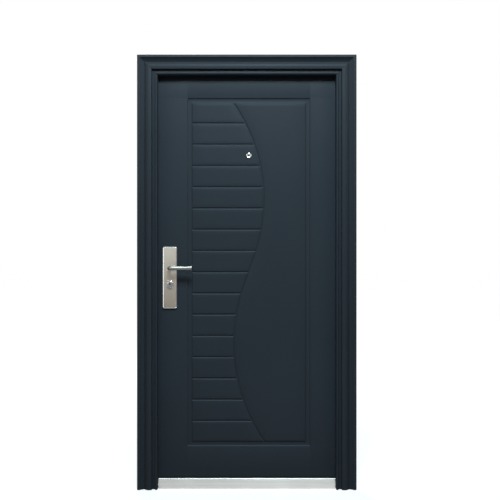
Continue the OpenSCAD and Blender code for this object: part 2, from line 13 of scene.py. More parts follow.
import bpy
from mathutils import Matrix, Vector


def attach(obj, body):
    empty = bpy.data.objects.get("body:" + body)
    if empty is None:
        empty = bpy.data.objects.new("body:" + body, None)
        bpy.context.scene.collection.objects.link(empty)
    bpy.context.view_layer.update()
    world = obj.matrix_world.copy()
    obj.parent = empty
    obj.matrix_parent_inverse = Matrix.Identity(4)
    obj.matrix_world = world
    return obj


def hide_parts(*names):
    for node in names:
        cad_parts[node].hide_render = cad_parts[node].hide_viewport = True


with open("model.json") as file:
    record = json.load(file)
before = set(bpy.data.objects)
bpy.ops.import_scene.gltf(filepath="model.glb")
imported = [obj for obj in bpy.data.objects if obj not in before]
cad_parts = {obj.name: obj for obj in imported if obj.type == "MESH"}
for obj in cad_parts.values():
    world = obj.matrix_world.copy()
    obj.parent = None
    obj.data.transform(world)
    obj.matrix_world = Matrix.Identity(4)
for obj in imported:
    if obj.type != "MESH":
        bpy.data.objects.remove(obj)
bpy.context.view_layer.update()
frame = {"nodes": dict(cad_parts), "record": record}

# %% [markdown]
# ## Camera
#
# The photograph was taken square on, from chest height and about three metres away, so the uprights stay upright and
# the head's underside is just hidden. A level camera on the same axis gives those lines without any lens shift.

# %% The camera
LENS_MM = 44.7
CAMERA_AT = Vector((0.0155, -3.0275, 1.1565))
bpy.ops.object.select_all(action="DESELECT")
bpy.ops.object.camera_add(location=CAMERA_AT, rotation=(math.radians(90), 0, 0))
camera = bpy.context.object
camera.name = "photographer"
camera.data.sensor_width = 36
camera.data.lens = LENS_MM
camera.data.clip_end = 60
bpy.context.scene.camera = camera
print("Camera at", tuple(round(v, 3) for v in CAMERA_AT), "lens", LENS_MM, "mm")

# %% [markdown]
# ## Shader maths in Python
#
# A procedural finish is a sum: a fine grain, a slow drift in tone, a mask. Written out node by node such a sum is
# hard to read, so one small class wraps a socket and turns Python's operators into Math nodes. Every other kind of
# node comes from the method node(), which takes the node's settings first and its sockets after them.

# %% A value in a finish
class Value:
    """One socket in a material, for use in ordinary expressions."""

    def __init__(self, tree, socket=None):
        self.tree, self.socket = tree, socket

    def node(self, kind, settings=None, sockets=None, out=0):
        made = self.tree.nodes.new(kind)
        for name, setting in (settings or {}).items():
            if name == "stops":
                ramp = made.color_ramp.elements
                while len(ramp) < len(setting):
                    ramp.new(0.5)
                for stop, (place, shade) in zip(ramp, setting):
                    stop.position, stop.color = place, (*shade, 1)
            else:
                setattr(made, name, setting)
        for name, given in (sockets or {}).items():
            if isinstance(given, Value):
                self.tree.links.new(given.socket, made.inputs[name])
            else:
                made.inputs[name].default_value = given
        return Value(self.tree, made.outputs[out] if made.outputs else None)

    def math(self, operation, *others):
        sockets = dict(enumerate(others))
        return self.node("ShaderNodeMath", {"operation": operation}, sockets)

    def __add__(self, other):
        return self.math("ADD", self, other)

    def __sub__(self, other):
        return self.math("SUBTRACT", self, other)

    def __rsub__(self, other):
        return self.math("SUBTRACT", other, self)

    def __mul__(self, other):
        return self.math("MULTIPLY", self, other)

    def at_most(self, other):
        return self.math("MINIMUM", self, other)

    def at_least(self, other):
        return self.math("MAXIMUM", self, other)

    __radd__ = __add__
    __rmul__ = __mul__


# %% [markdown]
# ## Helpers for a finish
#
# Each finish starts from the same place: where a point lies on the door, in metres. Noise on those coordinates has a
# real size, so a grain of half a millimetre is written as 2000 to the metre, and it stays put when the door moves.

# %% Start and end a finish
def new_finish(name):
    """A new material, and where a point of the piece lies, in metres."""
    finish = bpy.data.materials.new(name)
    finish.use_nodes = True
    finish.node_tree.nodes.clear()
    start = Value(finish.node_tree)
    place = start.node("ShaderNodeTexCoord", out="Object")
    return finish, place


def drawn_out(place, along):
    """The same place with its pattern stretched by a number for each axis."""
    return place.node("ShaderNodeMapping", sockets={"Vector": place, "Scale": along})


def grain(place, scale, detail=2.0, roughness=0.5):
    """Noise from 0 to 1 with so many grains to the metre."""
    sockets = {"Vector": place, "Scale": scale, "Detail": detail, "Roughness": roughness}
    return place.node("ShaderNodeTexNoise", sockets=sockets)


def between(place, low, high, share):
    """A colour from low to high by a share from 0 to 1."""
    settings = {"data_type": "RGBA"}
    sockets = {0: share, 6: (*low, 1), 7: (*high, 1)}
    return place.node("ShaderNodeMix", settings, sockets, out=2)


def bumped(place, height, strength, depth, rounding=0.0004):
    """A normal that a height changes and that runs softly round sharp edges, both in metres."""
    soft = place.node("ShaderNodeBevel", {"samples": 6}, {"Radius": rounding})
    sockets = {"Height": height, "Strength": strength, "Distance": depth, "Normal": soft}
    return place.node("ShaderNodeBump", sockets=sockets)


def surface(finish, place, **sockets):
    """Ends a finish in a surface shader."""
    named = {name.replace("_", " "): given for name, given in sockets.items()}
    shader = place.node("ShaderNodeBsdfPrincipled", sockets=named)
    place.node("ShaderNodeOutputMaterial", sockets={"Surface": shader})
    print("Finish:", finish.name)
    return finish


# %% [markdown]
# ## Powder coat
#
# Casing and leaf are sprayed with a dark blue-grey powder and baked. Such a coat is matt, never quite even in tone,
# and has a very fine orange-peel texture. A slow noise drifts the colour, a fine one changes the roughness, and the
# finest lifts the surface by some hundredths of a millimetre. The leaf's coat is a little smoother than the frame's.

# %% Powder coat for the frame and the leaf
def powder_coat(name, low, high, roughness, peel):
    finish, place = new_finish(name)
    drift = grain(place, 2.2, 3.0)
    speck = grain(place, 900.0, 1.0)
    tone = (drift * 0.75 + speck * 0.25)
    fine = grain(place, 420.0, 2.0)
    # Below 9 cm the coat turns lighter and rougher, in patches.
    near_floor = (0.09 - place.node("ShaderNodeSeparateXYZ", sockets={0: place}, out=2)).at_least(0.0) * 3.0
    lighter_near_floor = (near_floor * grain(place, 60.0, 4.0)).at_most(0.25)
    return surface(
        finish,
        place,
        Base_Color=between(place, low, high, tone + lighter_near_floor),
        Roughness=roughness + (fine - 0.5) * 0.12 + lighter_near_floor * 0.3,
        Specular_IOR_Level=0.08,
        Normal=bumped(place, fine * 0.7 + speck * 0.3, peel, 0.0004, rounding=0.0012),
    )


# %% [markdown]
# ## Brushed, polished and plated metal
#
# A brushed plate is covered with fine scratches that all run one way. Noise that is stretched along that way and
# packed tightly across it gives the same streaks in colour, roughness and height. Polished metal has only faint
# smears, and zinc has large soft crystals, which a cell pattern gives.

# %% Brushed metal
def brushed_metal(name, low, high, along, roughness, depth=0.00006, painted_shade_heights=None):
    """Metal brushed along an axis; when two heights are given, its colour is painted darker towards the first of them,
    as painted shade.
    """
    finish, place = new_finish(name)
    lines = grain(drawn_out(place, along), 1.0, 3.0, 0.65)
    broad = grain(drawn_out(place, tuple(a * 0.18 for a in along)), 1.0, 2.0)
    cloud = grain(place, 9.0, 2.0)
    tone = lines * 0.5 + broad * 0.3 + cloud * 0.2
    if painted_shade_heights:
        # Painted shade: the tone runs from dark at the first height to full at the second.
        height = place.node("ShaderNodeSeparateXYZ", sockets={0: place}, out=2)
        rise = ((height - painted_shade_heights[0]) * (1 / (painted_shade_heights[1] - painted_shade_heights[0]))).at_least(0.0).at_most(1.0)
        tone = rise * 0.8 + (tone - 0.5) * 0.7 + 0.1
    return surface(
        finish,
        place,
        Base_Color=between(place, low, high, tone),
        Metallic=1.0,
        Roughness=roughness + (lines - 0.5) * 0.16 + (cloud - 0.5) * 0.06,
        Normal=bumped(place, lines, 0.35, depth),
    )


# %% Polished metal
def polished_metal(name, low, high, roughness):
    finish, place = new_finish(name)
    smear = grain(place, 70.0, 3.0)
    haze = grain(place, 380.0, 2.0)
    return surface(
        finish,
        place,
        Base_Color=between(place, low, high, smear),
        Metallic=1.0,
        Roughness=roughness + (smear - 0.5) * 0.05 + (haze - 0.5) * 0.03,
        Normal=bumped(place, haze, 0.05, 0.0001),
    )


# %% Zinc-plated steel
def plated_steel(name, low, high, roughness):
    finish, place = new_finish(name)
    cell = place.node("ShaderNodeTexVoronoi", sockets={"Vector": place, "Scale": 140.0}, out=1)
    crystal = place.node("ShaderNodeSeparateColor", sockets={0: cell})
    fine = grain(place, 300.0, 3.0)
    return surface(
        finish,
        place,
        Base_Color=between(place, low, high, crystal * 0.6 + fine * 0.4),
        Metallic=0.9,
        Roughness=roughness + (crystal - 0.5) * 0.12 + (fine - 0.5) * 0.08,
        Normal=bumped(place, fine, 0.12, 0.0002),
    )


# %% [markdown]
# ## Rubber and glass
#
# The gaskets are extruded black rubber: dull, slightly dusty and drawn lengthwise. The peephole's lens shows only
# the dark inside of its tube, so its near-black colour is painted shade of that inside, under a hard clear coat, and
# needs no real refraction.

# %% Rubber and lens glass
def seal_rubber(name):
    finish, place = new_finish(name)
    dust = grain(place, 90.0, 4.0)
    skin = grain(place, 1500.0, 2.0)
    return surface(
        finish,
        place,
        Base_Color=between(place, (0.006, 0.006, 0.006), (0.03, 0.03, 0.029), dust * dust),
        Roughness=0.72 + (dust - 0.5) * 0.2,
        Normal=bumped(place, skin, 0.3, 0.0002),
    )


def lens_glass(name):
    finish, place = new_finish(name)
    rings = grain(place, 260.0, 1.0)
    return surface(
        finish,
        place,
        # Painted shade: the near-black colour stands for the dark inside of the peephole's tube.
        Base_Color=between(place, (0.004, 0.005, 0.006), (0.02, 0.022, 0.026), rings),
        Roughness=0.04 + rings * 0.03,
        Coat_Weight=1.0,
        Coat_Roughness=0.02,
        IOR=1.52,
    )


# %% Every finish by the slot that names it
finishes = {
    "frame_paint": powder_coat("powder_frame", (0.0108, 0.0132, 0.0162), (0.0158, 0.0192, 0.0232), 0.5, 0.3),
    "leaf_paint": powder_coat("powder_leaf", (0.0115, 0.0142, 0.0175), (0.0165, 0.0205, 0.0252), 0.52, 0.2),
    # Painted shade: every stainless part is darkened above 52.5 mm, which takes in the threshold's top edge.
    "stainless": brushed_metal(
        "stainless", (0.12, 0.12, 0.12), (0.98, 0.92, 0.86), (4, 700, 900), 0.42, painted_shade_heights=(0.0525, 0.0455)
    ),
    # Painted shade: the nickel is darkened from 1.14 m down to 0.88 m, so the lock plates grow darker towards their
    # foot.
    "nickel": brushed_metal(
        "nickel", (0.28, 0.22, 0.175), (0.55, 0.48, 0.405), (1100, 900, 9), 0.48, painted_shade_heights=(0.88, 1.14)
    ),
    "bright_metal": polished_metal("bright_metal", (0.58, 0.575, 0.56), (0.76, 0.755, 0.74), 0.2),
    "galvanised": plated_steel("galvanised", (0.34, 0.35, 0.36), (0.52, 0.53, 0.54), 0.42),
    # Painted shade: the plug's metal is made much darker than its own tone, so that the keyway reads dark.
    "plug_brass": brushed_metal("plug_brass", (0.13, 0.12, 0.10), (0.26, 0.24, 0.20), (500, 60, 500), 0.3),
    "seal_rubber": seal_rubber("seal_rubber"),
    "lens_glass": lens_glass("lens_glass"),
}
for part in frame["record"]["subparts"]:
    shape = frame["nodes"][part["node"]].data
    shape.materials.clear()
    shape.materials.append(finishes[part["material_slot"]])

# %% [markdown]
# ## Tools of the bench
#
# Three small helpers repeat for every piece. One adds a primitive with nothing else selected, because an operator
# acts on all that is selected. One cuts a piece with others and throws the cutters away. The last settles a piece:
# its place goes into its mesh, its faces are smoothed, and it is told which body it rides on.

# %% Start, cut and settle a piece
MM = 0.001


def alone(piece):
    """Leaves object mode with only this piece selected and active."""
    if bpy.context.object and bpy.context.object.mode != "OBJECT":
        bpy.ops.object.mode_set(mode="OBJECT")
    bpy.ops.object.select_all(action="DESELECT")
    piece.select_set(True)
    bpy.context.view_layer.objects.active = piece
    return piece


def started(add, **at):
    """Adds one primitive with nothing else selected."""
    bpy.ops.object.select_all(action="DESELECT")
    add(**at)
    return bpy.context.object


def shaped(piece, *steps):
    """Runs edit-mode steps on the whole of a piece."""
    alone(piece)
    bpy.ops.object.mode_set(mode="EDIT")
    bpy.ops.mesh.select_all(action="SELECT")
    for step in steps:
        step()
    bpy.ops.object.mode_set(mode="OBJECT")
    return piece


def made_outward():
    """Turns every face of the piece in edit mode outwards."""
    bpy.ops.mesh.select_all(action="SELECT")
    bpy.ops.mesh.remove_doubles(threshold=0.00001)
    bpy.ops.mesh.normals_make_consistent(inside=False)


def cut_out(piece, cutters):
    """Takes the cutters out of a piece and removes them."""
    for cutter in cutters:
        alone(piece)
        cut = piece.modifiers.new("cut", "BOOLEAN")
        cut.operation, cut.solver, cut.object = "DIFFERENCE", "EXACT", cutter
        bpy.ops.object.modifier_apply(modifier=cut.name)
        bpy.data.objects.remove(cutter)
    return piece


def settled(piece, name, body, slot, *nodes, smooth=30):
    """Puts a piece's place in its mesh, smooths it, dresses it and lets it ride."""
    alone(piece)
    bpy.ops.object.transform_apply(location=True, rotation=True, scale=True)
    bpy.ops.object.shade_smooth_by_angle(angle=math.radians(smooth))
    piece.name = piece.data.name = name
    piece.data.materials.clear()
    piece.data.materials.append(finishes[slot])
    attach(piece, body)
    if nodes:
        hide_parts(*nodes)
    piece.data.calc_loop_triangles()
    print(f"{name}: {len(piece.data.loop_triangles)} triangles, rides on {body}")
    return piece


# %% [markdown]
# ## The moulded frame
#
# The frame is one long strip of steel sheet, folded into a casing, a stop and a rebate, and cut at 45 degrees where
# the uprights meet the head. A bevelled curve could sweep it, but a curve rounds the mitre off. So the strip's outline
# is drawn once as a closed ring of points, extruded straight, and its end is then slid to the mitre, where every
# point drops by as much as it lies inside the outer edge. Each moulding is drawn with more steps than a solid model
# has, so that light runs over it without a break.

# %% The outline of the folded strip, in millimetres from its outer edge
WALL, STOP, REAR = -25, -8, 50
CASING_W, REBATE_D, WALL_LAP = 99, 20.5, 50
SHEET_T = 1.5
STEPS = 14


def eased(a, b, way):
    """Points from a to b, without b, where way turns a share of the run into a share of the rise."""
    shares = [i / STEPS for i in range(STEPS)]
    return [Vector((a[0] + (b[0] - a[0]) * s, a[1] + (b[1] - a[1]) * way(s))) for s in shares]


def corner_round(centre, radius, start, end):
    angles = [math.radians(start + (end - start) * i / STEPS) for i in range(STEPS + 1)]
    return [Vector((centre[0] + radius * math.cos(a), centre[1] + radius * math.sin(a))) for a in angles]


def half_wave(s):
    return (1 - math.cos(math.pi * s)) / 2


def steepening(s):
    return 1 - math.cos(math.pi / 2 * s)


def levelling(s):
    return math.sin(math.pi / 2 * s)


strip = [Vector((8, WALL)), Vector((0, WALL))]
strip += corner_round((9, WALL - 13.5 + 9), 9, 180, 270)
strip += [Vector((14, WALL - 13.5)), Vector((17.5, WALL - 9.5))]
strip += eased((35, WALL - 2), (56, WALL - 15), levelling)
strip += eased((56, WALL - 15), (70.5, WALL - 13.5), steepening)
strip += [Vector((70.5, WALL - 13.5)), Vector((73.5, WALL - 2))]
strip += eased((86, WALL - 2), (90, WALL - 12), half_wave)
strip += corner_round((CASING_W - 9, WALL - 12 + 9), 9, 270, 360)
strip += [Vector((CASING_W, STOP)), Vector((CASING_W - REBATE_D, STOP)), Vector((CASING_W - REBATE_D, REAR))]
strip += [Vector((WALL_LAP, REAR)), Vector((WALL_LAP, REAR - 15))]


def to_the_left(way):
    return Vector((-way.y, way.x)).normalized()


def with_thickness(line, thickness):
    """A closed ring: the line, and the same line moved sideways by the sheet's thickness."""
    inner = []
    for i, point in enumerate(line):
        before = to_the_left(line[max(i, 1)] - line[max(i, 1) - 1])
        after = to_the_left(line[min(i + 1, len(line) - 1)] - line[min(i, len(line) - 2)])
        middle = (before + after).normalized()
        inner.append(point + middle * thickness / middle.dot(before))
    return line + inner[::-1]


folded = with_thickness(strip, SHEET_T)
print("The folded strip has", len(folded), "points")

# %% Uprights and head
HALF_W, TOP = 530, 2100


def length_of_strip(at, along):
    """A straight length of the strip: at places a point of the outline, along is its run in metres."""
    ring = started(bpy.ops.mesh.primitive_circle_add, vertices=len(folded), radius=1, fill_type="NGON")
    for vertex, (inward, back) in zip(ring.data.vertices, folded):
        vertex.co = at(inward * MM, back * MM)
    return shaped(ring, lambda: bpy.ops.mesh.extrude_region_move(TRANSFORM_OT_translate={"value": along}))


def mitred(piece, upright):
    """Slides the ends of a length to the 45 degree planes through the frame's top corners."""
    half_w, top = HALF_W * MM, TOP * MM
    for vertex in piece.data.vertices:
        if upright and vertex.co.z > top / 2:
            vertex.co.z = top - (half_w - abs(vertex.co.x))
        elif not upright:
            vertex.co.x = math.copysign(half_w - (top - vertex.co.z), vertex.co.x)
    return shaped(piece, made_outward)


def anchor_cutters(side):
    for i in range(4):
        place = (side * 452.25 * MM, 25 * MM, (250 + 525 * i) * MM)
        turn = (0, math.radians(90), 0)
        add = bpy.ops.mesh.primitive_cylinder_add
        yield started(add, vertices=40, radius=5.5 * MM, depth=8 * MM, location=place, rotation=turn)


LOCK_Z = 1031
for side, node, body_word in ((1, "hinge_jamb", "hinge"), (-1, "lock_jamb", "lock")):
    upright = length_of_strip(lambda u, y: (side * (HALF_W * MM - u), y, 0), (0, 0, TOP * MM))
    mitred(upright, True)
    cutters = list(anchor_cutters(side))
    if side < 0:
        keep = started(bpy.ops.mesh.primitive_cube_add, size=1, location=(-452.25 * MM, 25 * MM, LOCK_Z * MM))
        keep.scale = (8 * MM, 30 * MM, 330 * MM)
        cutters.append(keep)
    cut_out(upright, cutters)
    settled(upright, f"moulded_{body_word}_jamb", "frame", "frame_paint", node, smooth=32)
head = length_of_strip(lambda u, y: (-HALF_W * MM, y, TOP * MM - u), (2 * HALF_W * MM, 0, 0))
settled(mitred(head, False), "moulded_head", "frame", "frame_paint", "head_member", smooth=32)

# %% [markdown]
# ## The lock plates
#
# Each plate is a thick stainless pressing with satin nickel on it: its face is flat, and its border falls away in
# two steps to a soft edge. A block gets its corners rounded first, then its face is inset twice, and every inset
# lifts the face, which leaves the two slopes. The last bevel takes the sharpness off the ridge between them.

# %% A lock plate
LEVER_X, LEVER_Z, PLUG_Z = -373.5, 1069, 993
PLATE_X, PLATE_Z, PLATE_T = LEVER_X - 1.5, LOCK_Z - 9, 9


def facing(piece, way, limit=0.99):
    """Selects the faces that look one way, for the next edit."""
    alone(piece)
    bpy.ops.object.mode_set(mode="EDIT")
    bpy.ops.mesh.select_all(action="DESELECT")
    bpy.ops.mesh.select_mode(type="FACE")
    bpy.ops.object.mode_set(mode="OBJECT")
    for face in piece.data.polygons:
        face.select = face.normal.dot(Vector(way)) > limit
    bpy.ops.object.mode_set(mode="EDIT")


def edges_where(piece, test):
    """Selects the edges whose two ends pass a test, for the next edit."""
    alone(piece)
    bpy.ops.object.mode_set(mode="EDIT")
    bpy.ops.mesh.select_all(action="DESELECT")
    bpy.ops.mesh.select_mode(type="EDGE")
    bpy.ops.object.mode_set(mode="OBJECT")
    points = piece.data.vertices
    for edge in piece.data.edges:
        edge.select = test(points[edge.vertices[0]].co, points[edge.vertices[1]].co)
    bpy.ops.object.mode_set(mode="EDIT")


def lock_plate():
    block = started(bpy.ops.mesh.primitive_cube_add, size=1, location=(0, 0, 0))
    block.scale = (70 * MM, 4.05 * MM, 302 * MM)
    block.location = (PLATE_X * MM, -4.05 / 2 * MM, PLATE_Z * MM)
    bpy.ops.object.transform_apply(location=True, rotation=True, scale=True)
    edges_where(block, lambda a, b: abs(a.x - b.x) < 1e-6 and abs(a.z - b.z) < 1e-6)
    bpy.ops.mesh.bevel(offset=7.5 * MM, segments=8)
    facing(block, (0, -1, 0))
    bpy.ops.mesh.inset(thickness=2 * MM, depth=3.9 * MM)
    bpy.ops.mesh.inset(thickness=4 * MM, depth=1.05 * MM)
    bpy.ops.object.mode_set(mode="OBJECT")
    front = min(v.co.y for v in block.data.vertices)
    edges_where(block, lambda a, b: abs(a.y - b.y) < 1e-6 and a.y < -4 * MM and b.y < -4 * MM)
    bpy.ops.mesh.bevel(offset=0.55 * MM, segments=3)
    bpy.ops.object.mode_set(mode="OBJECT")
    print("Plate's face lies at", round(front / MM, 2), "mm")
    neck = started(
        bpy.ops.mesh.primitive_cylinder_add,
        vertices=64,
        radius=10.05 * MM,
        depth=40 * MM,
        location=(LEVER_X * MM, 0, LEVER_Z * MM),
        rotation=(math.radians(90), 0, 0),
    )
    return cut_out(block, [neck])


def moved_inside(piece):
    """Mirrors a finished outside piece to the leaf's inside face."""
    for vertex in piece.data.vertices:
        vertex.co.y = REAR * MM - vertex.co.y
    return shaped(piece, made_outward)


def chamfers_polished(plate):
    """Gives the gentle slope round the face the bright finish, and leaves the brushed one on the rest."""
    plate.data.materials.append(finishes["bright_metal"])
    slopes = [face for face in plate.data.polygons if 0.75 < abs(face.normal.y) < 0.99]
    for face in slopes:
        face.material_index = 1
    alone(plate)
    flat = plate.modifiers.new("flat_faces", "WEIGHTED_NORMAL")
    flat.keep_sharp = True
    bpy.ops.object.modifier_apply(modifier=flat.name)
    print(plate.name, "has", len(slopes), "polished faces")


chamfers_polished(settled(lock_plate(), "satin_plate_outside", "leaf", "nickel", "plate_outside", smooth=28))
chamfers_polished(
    settled(moved_inside(lock_plate()), "satin_plate_inside", "leaf", "nickel", "plate_inside", smooth=28)
)

# %% [markdown]
# ## The pressed skins
#
# The outside skin is one sheet with the whole pattern pressed into it: a channel round the panel, a long curve from
# its top to its bottom, and cross grooves from the channel to that curve. So the skin is one net of points whose
# lines run along the flanks of every trench. Columns follow the channel's sides and the long curve, rows follow the
# channel's ends and the grooves, and where they meet, the deepest trench that passes there sets the depth. The net's
# border folds back round the leaf's edges. The inside skin is pressed with the channel alone.

# %% Lines of the pressed pattern, in millimetres from the panel's middle
PANEL_X, PANEL_Z = 10, 1048.5
LEFT, RIGHT, LOW, HIGH = -444 - PANEL_X, 444 - PANEL_X, 36 - PANEL_Z, 2014 - PANEL_Z
PANEL_W, PANEL_H, CHANNEL_W, CHANNEL_D = 600, 1697, 26, 4
BAYS, END_BAY_LESS, GROOVE_W, GROOVE_D = 16, 6.5, 11, 3
SWING, WIDEST_Z = 73, 350
SKIN_T = 1.2
side = (PANEL_W - CHANNEL_W) / 2
end = (PANEL_H - CHANNEL_W) / 2
inner_h = PANEL_H - 2 * CHANNEL_W
bay_h = (inner_h + 2 * END_BAY_LESS) / BAYS
cross_grooves = [(i - BAYS / 2) * bay_h for i in range(1, BAYS)]
reach = inner_h / 2 - WIDEST_Z
arc_r = ((2 * SWING) ** 2 + reach**2) / (4 * SWING)
arc_x = SWING - arc_r
lean = math.atan2(WIDEST_Z, arc_x) - math.asin(arc_r / math.hypot(arc_x, WIDEST_Z))
touch_z = WIDEST_Z - arc_r * math.cos(lean)


def long_curve(z):
    """Place and slope of the long curve: two equal arcs and the straight line that touches both."""
    if z < 0:
        x, slope = long_curve(-z)
        return -x, slope
    if z < touch_z:
        return z / math.tan(lean), 1 / math.tan(lean)
    x = math.sqrt(arc_r**2 - (z - WIDEST_Z) ** 2)
    return arc_x + x, (WIDEST_Z - z) / x


ROUNDING = 0.8
FLANK_STEPS = 6


def flank_lines(width, slope_w):
    """Offsets from a trench's middle at which its two flanks have their lines."""
    run = slope_w + 2 * ROUNDING
    one = [width / 2 + ROUNDING - run * i / FLANK_STEPS for i in range(FLANK_STEPS + 1)]
    return [-t for t in one] + one[::-1]


def pressed(offset, width, slope_w, depth):
    """How deep a trench is at an offset from its middle, with both its bends rounded."""
    share = (width / 2 + ROUNDING - abs(offset)) / (slope_w + 2 * ROUNDING)
    return depth * half_wave(min(max(share, 0), 1))


def spaced(a, b, count):
    return [a + (b - a) * i / (count + 1) for i in range(1, count + 1)]


channel_lines = flank_lines(CHANNEL_W, 4)
groove_lines = flank_lines(GROOVE_W, GROOVE_W / 3)
folds = [(0, 12), (0, 1.5), (0.2, 0.75), (0.75, 0.2), (1.5, 0)]
print("The long curve has arcs of", round(arc_r), "mm, and the skin", len(cross_grooves), "cross grooves")


# %% Columns, rows and depths
def columns_at(z):
    """Columns of the net at a height: place, fold and offset from the long curve."""
    middle, slope = long_curve(min(max(z, -end), end))
    curve = [(middle + t * math.hypot(1, slope), t) for t in groove_lines]
    before = [(-side + t, -99) for t in channel_lines]
    after = [(side + t, 99) for t in channel_lines]
    before += [(x, -99) for x in spaced(before[-1][0], curve[0][0], 4)]
    after = [(x, 99) for x in spaced(curve[-1][0], after[0][0], 4)] + after
    across = [(LEFT + inset, back, -99) for inset, back in folds]
    across += [(x, 0, t) for x, t in before + curve + after]
    return across + [(RIGHT - inset, back, 99) for inset, back in folds[::-1]]


def rows_for(grooves):
    """Rows of the net from the bottom: height and fold."""
    heights = [-end + t for t in channel_lines]
    for groove in grooves:
        heights += spaced(heights[-1], groove + groove_lines[0], 5)
        heights += [groove + t for t in groove_lines]
    heights += spaced(heights[-1], end + channel_lines[0], 5)
    heights += [end + t for t in channel_lines]
    rows = [(LOW + inset, back) for inset, back in folds] + [(z, 0) for z in heights]
    return rows + [(HIGH - inset, back) for inset, back in folds[::-1]]


def depth_at(x, offset, z, grooves):
    """Depth of the deepest trench at one point of the net."""
    beyond = max(abs(x) - side, abs(z) - end)
    depths = [pressed(beyond, CHANNEL_W, 4, CHANNEL_D)]
    if grooves and beyond < 0:
        depths.append(pressed(offset, GROOVE_W, GROOVE_W / 3, GROOVE_D))
        if offset < 0:
            depths += [pressed(z - groove, GROOVE_W, GROOVE_W / 3, GROOVE_D) for groove in grooves]
    return max(depths)


def block(x, z, wide, high, front, back):
    """A block with its middle at x and z, from front to back."""
    made = started(bpy.ops.mesh.primitive_cube_add, size=1, location=(x * MM, (front + back) / 2 * MM, z * MM))
    made.scale = (wide * MM, (back - front) * MM, high * MM)
    bpy.ops.object.transform_apply(location=True, rotation=True, scale=True)
    return made


def disc(x, z, radius, front, back, vertices=64):
    """A round block whose axis runs through the door."""
    made = started(
        bpy.ops.mesh.primitive_cylinder_add,
        vertices=vertices,
        radius=radius * MM,
        depth=(back - front) * MM,
        location=(x * MM, (front + back) / 2 * MM, z * MM),
        rotation=(math.radians(90), 0, 0),
    )
    bpy.ops.object.transform_apply(location=True, rotation=True, scale=True)
    return made


# %% Press the two skins
def pressed_skin(grooves):
    rows = rows_for(grooves)
    net = [columns_at(z) for z, fold in rows]
    wide = len(net[0])
    sheet = started(
        bpy.ops.mesh.primitive_grid_add, x_subdivisions=wide - 1, y_subdivisions=len(rows) - 1, size=1
    )
    in_order = sorted(sheet.data.vertices, key=lambda v: (round(v.co.y, 5), round(v.co.x, 5)))
    for number, vertex in enumerate(in_order):
        row, column = divmod(number, wide)
        z, row_fold = rows[row]
        x, column_fold, offset = net[row][column]
        y = max(row_fold, column_fold, depth_at(x, offset, z, grooves))
        vertex.co = ((PANEL_X + x) * MM, y * MM, (PANEL_Z + z) * MM)
    shaped(
        sheet,
        lambda: bpy.ops.mesh.remove_doubles(threshold=0.00001),
        lambda: bpy.ops.mesh.dissolve_degenerate(threshold=0.00001),
    )
    wall = sheet.modifiers.new("wall", "SOLIDIFY")
    wall.thickness, wall.offset, wall.use_even_offset = SKIN_T * MM, -1, True
    bpy.ops.object.modifier_apply(modifier=wall.name)
    print("A skin of", len(rows), "rows and", wide, "columns")
    holes = [disc(LEVER_X, LEVER_Z, 10.5, -5, 15), disc(LEVER_X, PLUG_Z, 9, -5, 15), disc(PANEL_X, PEEP_Z, 7.5, -5, 15)]
    holes.append(block(LEVER_X, PLUG_Z - 12.5, 11, 25, -5.5, 15.5))
    return cut_out(sheet, holes)


PEEP_Z = 1617
settled(pressed_skin(cross_grooves), "pressed_outer_skin", "leaf", "leaf_paint", "outer_skin", smooth=38)
settled(moved_inside(pressed_skin([])), "pressed_inner_skin", "leaf", "leaf_paint", "inner_skin", smooth=38)

# %% [markdown]
# ## The levers
#
# A cast lever grows out of its round neck, bends through an elbow, narrows at the waist and ends in a hollow fish
# tail. That is a ring drawn along a path: a circle starts at the plate, is extruded from station to station, and each
# new ring is set to that station's centre, heading and size. Subdivision then rounds the sixteen sides off.

# %% Stations of a lever: across, out, heading, half width and half height, in millimetres
BAR_OUT = 49
stations = [(0, 0.6, 0, 9.6, 9.6), (0, 1.6, 0, 10, 10), (0, 9, 0, 9.8, 9.8), (0, 24, 0, 9.3, 9.3)]
stations += [(0, 36, 0, 9.2, 9.3)]
for turn in (18, 36, 54, 72, 90):
    angle = math.radians(turn)
    stations.append((12 - 12 * math.cos(angle), 37 + 12 * math.sin(angle), turn, 9.2, 9.6 + turn / 100))
bar = [(24, 8.6, 10.4), (42, 8.3, 10.1), (60, 8, 9.9), (78, 7.8, 9.8), (92, 7.8, 10.2), (101, 7.9, 10.8)]
bar += [(107, 8, 11.2)]
stations += [(x, BAR_OUT, 90, wide, high) for x, wide, high in bar]
stations += [(110, BAR_OUT, 90, 7.7, 11.3), (110.9, BAR_OUT, 90, 7.2, 10.9)]
SIDES = 16


def ring_at(across, out, heading, wide, high, tail=0.0):
    """Points of one ring, facing out of the door at heading 0 and along the bar at 90."""
    angle = math.radians(heading)
    for i in range(SIDES):
        around = 2 * math.pi * i / SIDES
        side, rise = wide * math.cos(around), high * math.sin(around)
        drawn_in = tail * (1 - math.sin(around) ** 2)
        x = across + side * math.cos(angle) - drawn_in * math.sin(angle)
        y = -out + side * math.sin(angle)
        yield Vector(((LEVER_X + x) * MM, y * MM, (LEVER_Z + rise) * MM))


